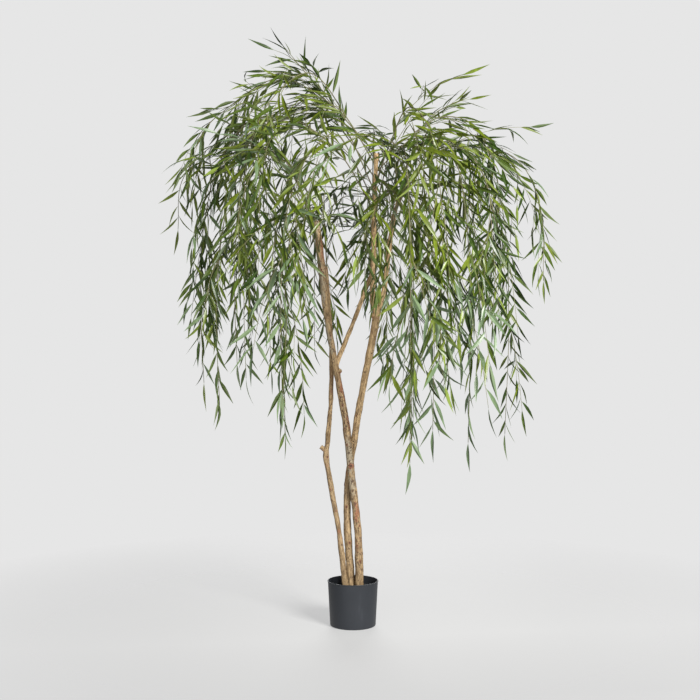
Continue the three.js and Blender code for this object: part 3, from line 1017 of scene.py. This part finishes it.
class WillowLeaves(bpy.types.PropertyGroup):
    """The crown."""

    fullness: bpy.props.FloatProperty(
        name="Fullness", description="Factor on each spray's hanging strands",
        default=1, min=0.6, max=2, subtype="FACTOR",
    )
    twigs: bpy.props.IntProperty(
        name="Twigs", description="Short twigs on each strand", default=1, min=0, max=6
    )
    leaf_length: length_setting("Leaf length", "A middling leaf, from root to tip", 0.13)
    leaf_width: length_setting("Leaf width", "A middling leaf at its widest", 0.0164)
    leaf_step: length_setting("Leaf step", "Between two pairs of leaves", 0.077)
    reach_margin: length_setting("Reach margin", "How far leaves may pass the solids' box", 0.03)
    young_share: bpy.props.FloatProperty(
        name="Young leaves", description="Share of yellow-green leaves at the tips",
        default=0.2, min=0, max=1, subtype="FACTOR",
    )
    deep: colour_setting("Deep", "Dark green leaves", shade("2b400f"))
    mid: colour_setting("Mid", "Middle green leaves", shade("3e500d"))
    olive: colour_setting("Olive", "Yellowish green leaves", shade("5c6a13"))
    # Partly real and partly painted sheen: bluish-green leaves, their colour lightened and greyed to
    # stand in for the satin sheen that light gives them.
    blue: colour_setting("Blue", "Bluish green leaves", shade("627555"))
    young: colour_setting("Young", "Small new leaves", shade("697a25"))
    under: colour_setting("Underside", "What the leaf backs lean to", shade("8b9a68"))
    twig: colour_setting("Twig", "Twigs", shade("6e7547"))
    twig_warm: colour_setting("Twig, warm", "Warmer stretches of the twigs", shade("776b50"))


class WillowStage(bpy.types.PropertyGroup):
    """Floor, light and camera."""

    camera_distance: length_setting("Camera distance", "In front of the pot", 4.495)
    camera_height: length_setting("Camera height", "Above the floor", 1.132)
    camera_aside: bpy.props.FloatProperty(
        name="Camera aside", description="To the right of the pot", default=-0.012, unit="LENGTH"
    )
    lens: bpy.props.FloatProperty(
        name="Lens", description="Focal length in millimetres", default=56.1, min=10
    )
    backdrop: colour_setting("Backdrop", "The pale studio", shade("e6e6e6"))
    ambient: bpy.props.FloatProperty(
        name="Ambient", description="Light from all round", default=0.31, min=0, max=2
    )
    floor_radius: length_setting("Floor radius", "Where the floor has faded out", 2.6)
    floor_glow: bpy.props.FloatProperty(
        name="Floor glow", description="Softens the shadows on the floor", default=0.47, min=0, max=1
    )


class WillowSettings(bpy.types.PropertyGroup):
    """All that a user may change."""

    pot: bpy.props.PointerProperty(type=WillowPot)
    wood: bpy.props.PointerProperty(type=WillowWood)
    leaves: bpy.props.PointerProperty(type=WillowLeaves)
    stage: bpy.props.PointerProperty(type=WillowStage)


# ---- Pot and filling --------------------------------------------------------

TURN_SIDES = 96

# The pot's small measures, in metres.
LIP_REACH = 0.0015
LIP_HEIGHT = 0.005
LIP_GROOVE = 0.0006
LIP_UNDER_ROUND = 0.0008
LIP_UNDER_RISE = 0.0012
LIP_TOP_ROUND = 0.0012
LIP_INNER_ROUND = 0.0008
FOOT_ROUND = 0.0045
RECESS_SHARE = 0.86
RECESS_BEVEL = 0.003
RECESS_DEPTH = 0.0025
INNER_TOP = 0.001
INNER_FLOOR = 0.006

FILLING_RINGS = 34
FILLING_FOOT = 0.9
# How far below the top of its solid the filling lies, in metres, and the scale and
# height of its lumps and of its crumbs.
FILLING_SINK = 0.0045
LUMPS = (28, 0.0024)
CRUMBS = (130, 0.0017)


def arc(centre, radius, start, end, steps):
    """Points on part of a circle, from one angle in degrees to another."""
    angles = [math.radians(mix(start, end, i / steps)) for i in range(steps + 1)]
    return [
        (centre[0] + radius * math.cos(a), centre[1] + radius * math.sin(a)) for a in angles
    ]


def turned(profile, sides):
    """A profile of (radius, height) turned about the pot's axis, closed on the axis."""
    shape = Shape()
    points = [(0, 0, profile[0][1])]
    for radius, height in profile[1:-1]:
        for k in range(sides):
            angle = 2 * math.pi * k / sides
            points.append((radius * math.cos(angle), radius * math.sin(angle), height))
    points.append((0, 0, profile[-1][1]))
    rings = len(profile) - 2
    top = 1 + (rings - 1) * sides
    faces = bands(rings, sides, first=1)
    for k in range(sides):
        after = (k + 1) % sides
        faces += [(0, 1 + after, 1 + k), (top + k, top + after, len(points) - 1)]
    shape.add(points, faces)
    return shape


def pot_profile(pot):
    """Up the outside from the centre of the foot, over the rim and down inside."""
    rim, base, top = pot.rim_radius, pot.base_radius, pot.height
    shoulder = rim - LIP_REACH
    inner_rim = rim - pot.wall
    recess = base * RECESS_SHARE
    under = top - LIP_HEIGHT
    profile = [(0, RECESS_DEPTH), (recess - RECESS_BEVEL, RECESS_DEPTH), (recess, 0)]
    profile += arc((base - FOOT_ROUND, FOOT_ROUND), FOOT_ROUND, 270, 355, 6)
    for k in (0.25, 0.5, 0.75):
        profile.append((mix(base, shoulder, k), mix(FOOT_ROUND, under, k)))
    profile += [(shoulder, under - LIP_GROOVE), (shoulder, under)]
    profile += arc((rim - LIP_UNDER_ROUND, under + LIP_UNDER_RISE), LIP_UNDER_ROUND, 300, 360, 3)
    profile += arc((rim - LIP_TOP_ROUND, top - LIP_TOP_ROUND), LIP_TOP_ROUND, 0, 90, 5)
    inner = (inner_rim + LIP_INNER_ROUND, top - LIP_INNER_ROUND)
    profile += arc(inner, LIP_INNER_ROUND, 90, 180, 4)
    for k in (0.3, 0.6, 1):
        radius = mix(inner_rim, base - pot.wall, k)
        profile.append((radius, mix(top - INNER_TOP, INNER_FLOOR, k)))
    profile.append((0, INNER_FLOOR))
    return profile


class WILLOW_OT_pot(bpy.types.Operator):
    """Turns the plastic pot, with a rounded foot and a small rolled rim"""

    bl_idname = "willow.pot"
    bl_label = "Pot"

    def execute(self, context):
        settings = context.scene.willow.pot
        shape = turned(pot_profile(settings), TURN_SIDES)
        pot = shape.piece("pot_shell", [pot_finish(settings)], scale=1)
        wear(pot, ["pot"])
        return {"FINISHED"}


def filling_height(x, y, top):
    """The crumbly top: lumps and fine crumbs, a little below the top of the solid."""
    lump = noise.noise(Vector((x, y, 0)) * LUMPS[0])
    crumb = noise.noise(Vector((x, y, 0.3)) * CRUMBS[0])
    return top - FILLING_SINK + LUMPS[1] * lump + CRUMBS[1] * crumb


class WILLOW_OT_filling(bpy.types.Operator):
    """Fills the pot with black filler that has a rough top"""

    bl_idname = "willow.filling"
    bl_label = "Filling"

    def execute(self, context):
        low, high = FILL_BOX
        outside = (high.x - low.x) / 2
        profile = [(0, low.z), (outside * FILLING_FOOT, low.z)]
        for i in range(FILLING_RINGS):
            profile.append((outside * (1 - i / FILLING_RINGS), high.z))
        shape = turned([*profile, (0, high.z)], TURN_SIDES)
        for i, (x, y, z) in enumerate(shape.points):
            if z == high.z:
                shape.points[i] = (x, y, filling_height(x, y, high.z))
        filling = shape.piece("pot_filling", [fill_finish()], scale=1)
        wear(filling, ["pot_fill"])
        return {"FINISHED"}


# ---- Wood -------------------------------------------------------------------

# Lengths are in millimetres. A flare is how much wider a limb is where it starts.
RING_STEP = 5
LIMB_SIDES = 36
STEM_SUNK = 7
COLLAR_LENGTH = 24
COLLAR_FLARE = 0.45
STUB_STEPS = 8
STUB_SIDES = 20
STUB_LIFT = 0.8
STUB_FLARE = 0.5
# Half the length of a stub's patch, and how weathered and how reddish it is.
STUB_PATCH = (60, 0, 0.9)
ROUGH_BARK = {"stem_right": 1.0, "stem_middle": 0.25, "stem_left": 0.45}
OTHER_BARK = 0.3
# How light the wood is painted, low down and high up: darker low down, and painted light high up
# that lifts the wood in the crown's shade.
BARK_PAINTED_LIGHT = {"stem_right": (0.8, 1.05), "stem_middle": (0.82, 1.6), "stem_left": (0.71, 1.15)}
OTHER_PAINTED_LIGHT = (1.5, 1.5)


def ridge(around, along, seed, relief):
    """The bark's relief at one spot: lumps, ridges along the limb and fine grain."""
    x, y = math.cos(around), math.sin(around)
    lump = noise.noise(Vector((x * 0.8, y * 0.8, along / 52 + seed)))
    ribs = noise.noise(Vector((x * 2.6, y * 2.6, along / 120 + seed + 30)))
    grain = noise.noise(Vector((x * 8, y * 8, along / 26 + seed + 60)))
    pits = noise.noise(Vector((x * 5, y * 5, along / 9 + seed + 90)))
    return relief * (1.7 * lump + 1.2 * ribs + 0.5 * grain + 0.5 * pits)


def knot_at(knots, around, height, radius):
    """How far a spot is raised by knots, and how dark it is there."""
    rise, dark = 0.0, 0.0
    for knot_height, heading, size in knots:
        turn = (around - math.radians(heading) + math.pi) % (2 * math.pi) - math.pi
        away = math.hypot(turn * radius / size, (height - knot_height) / (1.25 * size))
        if away < 2.5:
            rise += size * (0.32 * math.exp(-(away**2)) - 0.34 * math.exp(-((2.6 * away) ** 2)))
            dark = max(dark, math.exp(-((1.3 * away) ** 2)))
    return rise, dark


def patch_at(patches, around, height):
    """How weathered and how reddish the bark is at a spot."""
    grey, red = 0.0, 0.0
    for patch_height, heading, half, grey_share, red_share in patches:
        turn = (around - math.radians(heading) + math.pi) % (2 * math.pi) - math.pi
        near = math.exp(-((turn / 1.3) ** 2) - ((height - patch_height) / half) ** 2)
        grey, red = max(grey, grey_share * near), max(red, red_share * near)
    return grey, red


class LimbShape:
    """Bark tubes with their grain and knots, and sawn ends in a second slot."""

    def __init__(self, relief, seed):
        self.shape = Shape()
        self.grain = []
        self.marks = []
        self.relief = relief
        self.seed = seed

    def add(self, points, radii, knots, patches, sides):
        last = len(points) - 1
        corners, grain, marks = [], [], []
        across = Vector((1, 0, 0)) if abs((points[-1] - points[0]).normalized().x) < 0.9 else UP
        distance = 0.0
        for i, point in enumerate(points):
            along = (points[min(i + 1, last)] - points[max(i - 1, 0)]).normalized()
            side = (across - along * across.dot(along)).normalized()
            other = along.cross(side)
            distance += (point - points[max(i - 1, 0)]).length
            for k in range(sides):
                around = 2 * math.pi * k / sides
                rise, darkness = knot_at(knots, around, point.z, radii[i])
                reach = radii[i] + rise + ridge(around, distance, self.seed, self.relief)
                outward = side * math.cos(around) + other * math.sin(around)
                corners.append(point + outward * reach)
                flat_grain = radii[i] * math.cos(around), radii[i] * math.sin(around)
                grain.append((*flat_grain, distance + 400 * self.seed))
                marks.append((darkness, *patch_at(patches, around, point.z)))
        self.put(corners, bands(len(points), sides), grain, marks, 0)
        self.cap(corners[-sides:], points[-1], (points[-1] - points[-2]).normalized())
        self.cap(corners[:sides][::-1], points[0], (points[0] - points[1]).normalized())

    def put(self, corners, faces, grain, marks, slot):
        self.shape.add(corners, faces, slot=slot)
        self.grain += grain
        self.marks += marks

    def cap(self, rim, centre, out):
        """A sawn end: a small bevel, a ring half way in and a slightly proud middle."""
        sides = len(rim)
        corners, grain = [], []
        for scale, lift in ((1, 0), (0.93, 0.9), (0.5, 1.2)):
            for corner in rim:
                away = (corner - centre) * scale
                corners.append(centre + away + out * lift)
                grain.append((away.x, away.y, away.z))
        corners.append(centre + out * 1.3)
        grain.append((0, 0, 0))
        faces = bands(3, sides)
        faces += [(2 * sides + k, 2 * sides + (k + 1) % sides, 3 * sides) for k in range(sides)]
        self.put(corners, faces, grain, [(0, 0, 0)] * len(corners), 1)

    def piece(self, name, finishes):
        obj = self.shape.piece(name, finishes)
        grain = obj.data.attributes.new("grain", "FLOAT_VECTOR", "POINT")
        grain.data.foreach_set("vector", (np.array(self.grain) * MM).ravel())
        for mark_name, values in zip(("knot", "weathered", "reddish"), zip(*self.marks)):
            mark = obj.data.attributes.new(mark_name, "FLOAT", "POINT")
            mark.data.foreach_set("value", values)
        return obj


def limb_piece(name, seed, settings):
    points, radii = limb_rings(name, RING_STEP)
    if name in FORKED:
        at = measured(points)
        radii = [
            r * (1 + COLLAR_FLARE * math.exp(-d / COLLAR_LENGTH)) for r, d in zip(radii, at)
        ]
    else:
        points.insert(0, points[0] - UP * STEM_SUNK)
        radii.insert(0, radii[0])
    knots, patches = KNOTS.get(name, []), PATCHES.get(name, [])
    limb = LimbShape(settings.relief / MM, seed)
    limb.add(points, radii, knots, patches, LIMB_SIDES)
    if name in STUBS:
        height, heading, stub_length, radius = STUBS[name]
        start = on_limb(name, height)
        way = (flat(heading) + UP * STUB_LIFT).normalized()
        places = range(STUB_STEPS + 1)
        line = [start + way * (stub_length * i / STUB_STEPS) for i in places]
        sizes = [radius * (1 + STUB_FLARE * math.exp(-i * 0.6)) for i in places]
        limb.add(line, sizes, [], [(start.z, heading, *STUB_PATCH)], STUB_SIDES)
    rough = ROUGH_BARK.get(name, OTHER_BARK)
    # Painted light: how much darker low down and lighter high up this limb is painted.
    painted_light_tones = BARK_PAINTED_LIGHT.get(name, OTHER_PAINTED_LIGHT)
    finishes = [wood_finish(f"bark_{name}", settings, rough, painted_light_tones), cut_finish(settings)]
    return limb.piece(f"{name}_bark", finishes)


class WILLOW_OT_wood(bpy.types.Operator):
    """Makes the three stems and two boughs, with bark relief, knots and sawn stubs"""

    bl_idname = "willow.wood"
    bl_label = "Stems and boughs"

    def execute(self, context):
        for seed, name in enumerate(LIMBS):
            piece = limb_piece(name, seed, context.scene.willow.wood)
            wear(piece, [name])
        return {"FINISHED"}


# ---- Twigs and leaves -------------------------------------------------------

TINTS = ("deep", "mid", "olive", "blue", "young")
LEAF_FOLD = 0.42
LEAF_THICKNESS = 0.5
# Place along a leaf and its half-width there, both as shares.
LEAF_OUTLINE = [(0, 0.07), (0.05, 0.1), (0.18, 0.6), (0.37, 1), (0.57, 0.84), (0.8, 0.36)]
RIB_PLACES = (0.03, 0.2, 0.4, 0.6, 0.82)
RIB_WIDTH = 0.9
RIB_HEIGHT = 0.45
RIB_SUNK = 0.1


def mass_nodes():
    """The solids that twigs and leaves stand for."""
    return [f"foliage_{spray.name}" for spray in SPRAYS]


class Blades:
    """The bent and twisted frames of many leaves at once, as arrays."""

    def __init__(self, leaves):
        def column(key):
            return np.array([leaf[key] for leaf in leaves], float)

        self.root = column("root")
        self.way = column("way")
        self.normal = column("normal")
        self.side = np.cross(self.way, self.normal)
        self.length = column("length")
        self.half = column("width") / 2
        self.bend = column("bend")
        self.falcate = column("falcate")
        self.twist = column("twist")

    def spot(self, along, aside, up):
        """Where the blades' points lie at a share along, and so far aside and up."""
        turn = self.bend * along
        reach = self.length * np.sinc(turn / np.pi) * along
        drop = self.length * along * np.sin(turn / 2) * np.sinc(turn / 2 / np.pi)
        swing = self.length * self.falcate * along**2 * 1.4
        angle = self.twist * along
        cosine, sine = np.cos(angle), np.sin(angle)
        out = aside * cosine - up * sine + swing
        lift = aside * sine + up * cosine - drop
        return (
            self.root
            + self.way * reach[:, None]
            + self.side * out[:, None]
            + self.normal * lift[:, None]
        )


def closed_strips(rings, tip=None):
    """Joins rings of points into closed forms, one for each row of the arrays."""
    sides = len(rings[0])
    layers = [point for ring in rings for point in ring] + ([tip] if tip is not None else [])
    points = np.stack(layers, axis=1)
    each = points.shape[1]
    # These rings run the other way round than those of a tube.
    faces = [tuple(range(sides))]
    faces += [(a, d, c, b) for a, b, c, d in bands(len(rings), sides)]
    end = (len(rings) - 1) * sides
    if tip is None:
        faces.append(tuple(end + k for k in reversed(range(sides))))
    else:
        faces += [(end + k, each - 1, end + (k + 1) % sides) for k in range(sides)]
    return points.reshape(-1, 3), faces, each


def repeated(faces, each, count):
    return [tuple(i + each * n for i in face) for n in range(count) for face in faces]


def leaf_shape(leaves):
    """Folded lance-shaped blades. The two faces below go in the second slot."""
    blades = Blades(leaves)
    rings = []
    for along, share in LEAF_OUTLINE:
        half = blades.half * share
        thick = np.full_like(half, LEAF_THICKNESS / 2)
        none = np.zeros_like(half)
        rings.append(
            [
                blades.spot(along, half, half * LEAF_FOLD),
                blades.spot(along, none, thick),
                blades.spot(along, -half, half * LEAF_FOLD),
                blades.spot(along, none, -thick),
            ]
        )
    none = np.zeros_like(blades.half)
    points, faces, each = closed_strips(rings, blades.spot(1.0, none, none))
    shape = Shape()
    shape.points = points
    shape.faces = repeated(faces, each, len(leaves))
    under = [1 if 0 < i and (i - 1) % 4 > 1 else 0 for i in range(len(faces))]
    shape.slots = under * len(leaves)
    return shape


def rib_shape(leaves):
    """A slim raised rib down the middle of each blade."""
    blades = Blades(leaves)
    rings = []
    for along in RIB_PLACES:
        wide = np.full_like(blades.half, RIB_WIDTH / 2 * (1.15 - along))
        none = np.zeros_like(wide)
        low = none + LEAF_THICKNESS / 2 - RIB_SUNK
        rings.append(
            [
                blades.spot(along, wide, low + wide * LEAF_FOLD),
                blades.spot(along, none, low + RIB_HEIGHT * (1.1 - along)),
                blades.spot(along, -wide, low + wide * LEAF_FOLD),
            ]
        )
    points, faces, each = closed_strips(rings)
    shape = Shape()
    shape.points = points
    shape.faces = repeated(faces, each, len(leaves))
    shape.slots = [0] * len(shape.faces)
    return shape


def sharpen(obj, angle):
    """Keeps edges crisp where two faces meet at more than an angle in degrees."""
    obj.data.set_sharp_from_angle(angle=math.radians(angle))


class WILLOW_OT_twigs(bpy.types.Operator):
    """Makes the sprays' arching stems, hanging strands and short twigs"""

    bl_idname = "willow.twigs"
    bl_label = "Twigs"

    def execute(self, context):
        settings = context.scene.willow.leaves
        crown = Crown(settings)
        twig, warm = settings.twig, settings.twig_warm
        looks = {
            "stems": (7, twig_finish("spray_stems", tone(warm, 0.75), tone(twig, 0.8))),
            "strands": (6, twig_finish("strand_wire", twig, warm)),
            "twigs": (5, twig_finish("twig_wire", tone(twig, 1.1), warm)),
        }
        for kind, (sides, finish) in looks.items():
            shape = Shape()
            for points, radii in crown.lines[kind]:
                shape.add(*tube(points, radii, sides))
            wear(shape.piece(f"spray_{kind}", [finish]), mass_nodes())
        return {"FINISHED"}


class WILLOW_OT_leaves(bpy.types.Operator):
    """Makes the leaves, one piece for each tint, and the ribs along them"""

    bl_idname = "willow.leaves"
    bl_label = "Leaves"

    def execute(self, context):
        settings = context.scene.willow.leaves
        crown = Crown(settings)
        for tint in TINTS:
            leaves = [leaf for leaf in crown.leaves if leaf["tint"] == tint]
            above = getattr(settings, tint)
            below = between(above, settings.under, 0.12)
            finishes = [
                leaf_finish(f"leaf_{tint}", above, 0.26, 0.28),
                leaf_finish(f"leaf_{tint}_back", below, 0.4, 0.12),
            ]
            piece = leaf_shape(leaves).piece(f"leaves_{tint}", finishes)
            sharpen(piece, 30)
            wear(piece, mass_nodes())
        rib = leaf_finish("leaf_rib", between(settings.mid, settings.under, 0.35), 0.4, 0.1)
        piece = rib_shape(crown.leaves).piece("leaf_ribs", [rib])
        sharpen(piece, 40)
        wear(piece, mass_nodes())
        return {"FINISHED"}


# ---- Stage ------------------------------------------------------------------


def floor_finish(settings):
    """Pale matt floor that fades away from the pot, with painted shade that darkens it towards the
    front and a painted glow that softens its shadows.
    """
    finish = Finish("studio_floor")
    place = finish.place()
    cloud = finish.noise(place, 2.5, 2)
    backdrop = settings.backdrop
    fade = finish.ramp(finish.far_out(place) * (1 / settings.floor_radius), (0.12, 1), (0.9, 0))
    # Painted shade: the floor's colour is darkened towards the front, where the lamps light it most.
    front = finish.ramp(finish.toward(place, (0.15, -1, 0)), (0.2, 0), (1, 1))
    base = finish.blend(cloud, tone(backdrop, 0.31), tone(backdrop, 0.34))
    return finish.dress(
        base_color=finish.blend(front, base, tone(backdrop, 0.17)),
        roughness=0.7 + cloud * 0.1,
        alpha=fade,
        # Painted light: the floor glows with the backdrop's colour to soften the shadows on it.
        glow_color=backdrop,
        glow=settings.floor_glow,
    )


def studio_world(settings):
    """A pale backdrop all round, dimmer as a light than it looks."""
    world = bpy.data.worlds.new("studio")
    world.use_nodes = True
    tree = world.node_tree
    sky = tree.nodes["Background"]
    sky.inputs["Color"].default_value = (*settings.backdrop, 1)
    seen = tree.nodes.new("ShaderNodeLightPath").outputs["Is Camera Ray"]
    strength = tree.nodes.new("ShaderNodeMapRange")
    strength.inputs["To Min"].default_value = settings.ambient
    strength.inputs["To Max"].default_value = 1
    tree.links.new(seen, strength.inputs["Value"])
    tree.links.new(strength.outputs["Result"], sky.inputs["Strength"])
    return world


def add_light(name, place, size, power, colour):
    """An oblong light that faces the middle of the part."""
    data = bpy.data.lights.new(name, "AREA")
    data.energy = power
    data.color = colour
    data.shape = "RECTANGLE"
    data.size, data.size_y = size
    light = bpy.data.objects.new(name, data)
    light.location = place
    centre = (CAD_BOX[0] + CAD_BOX[1]) / 2
    light.rotation_euler = (centre - light.location).to_track_quat("-Z", "Y").to_euler()
    bpy.context.scene.collection.objects.link(light)


class WILLOW_OT_stage(bpy.types.Operator):
    """Sets the camera, the pale floor and the soft studio light"""

    bl_idname = "willow.stage"
    bl_label = "Stage"

    def execute(self, context):
        scene = context.scene
        settings = scene.willow.stage
        data = bpy.data.cameras.new("camera")
        data.lens = settings.lens
        camera = bpy.data.objects.new("camera", data)
        camera.location = (settings.camera_aside, -settings.camera_distance, settings.camera_height)
        camera.rotation_euler = (math.pi / 2, 0, 0)
        scene.collection.objects.link(camera)
        scene.camera = camera

        shape = Shape()
        sides = 64
        rim = [flat(360 * k / sides) * settings.floor_radius for k in range(sides)]
        shape.add([(p.x, p.y, -0.0005) for p in rim], [tuple(range(sides))])
        floor = shape.piece("floor", [floor_finish(settings)], scale=1)

        scene.world = studio_world(settings)
        scene.view_settings.view_transform = "Standard"

        add_light("key", (2.3, -3.6, 2.9), (1.6, 1.6), 400, (1, 0.99, 0.965))
        add_light("fill", (-1.6, -4.4, 0.9), (2.4, 1.2), 60, (0.97, 0.985, 1))
        add_light("back", (0.1, 3.7, 1.3), (2.4, 2.0), 65, (1, 1, 1))
        return {"FINISHED"}


# ---- Panel and run ----------------------------------------------------------

STEPS = (
    WILLOW_OT_stage,
    WILLOW_OT_pot,
    WILLOW_OT_filling,
    WILLOW_OT_wood,
    WILLOW_OT_twigs,
    WILLOW_OT_leaves,
)


class WILLOW_PT_panel(bpy.types.Panel):
    """Lists the pieces in the order they are made"""

    bl_idname = "WILLOW_PT_panel"
    bl_label = "Potted willow"
    bl_space_type = "VIEW_3D"
    bl_region_type = "UI"
    bl_category = "Willow"

    def draw(self, context):
        for step in STEPS:
            self.layout.operator(step.bl_idname)


CLASSES = (
    WillowPot,
    WillowWood,
    WillowLeaves,
    WillowStage,
    WillowSettings,
    *STEPS,
    WILLOW_PT_panel,
)


def register():
    for cls in CLASSES:
        bpy.utils.register_class(cls)
    bpy.types.Scene.willow = bpy.props.PointerProperty(type=WillowSettings)


def unregister():
    del bpy.types.Scene.willow
    for cls in reversed(CLASSES):
        bpy.utils.unregister_class(cls)


def main():
    register()
    for step in STEPS:
        group, name = step.bl_idname.split(".")
        getattr(getattr(bpy.ops, group), name)()


if __name__ == "__main__":
    main()
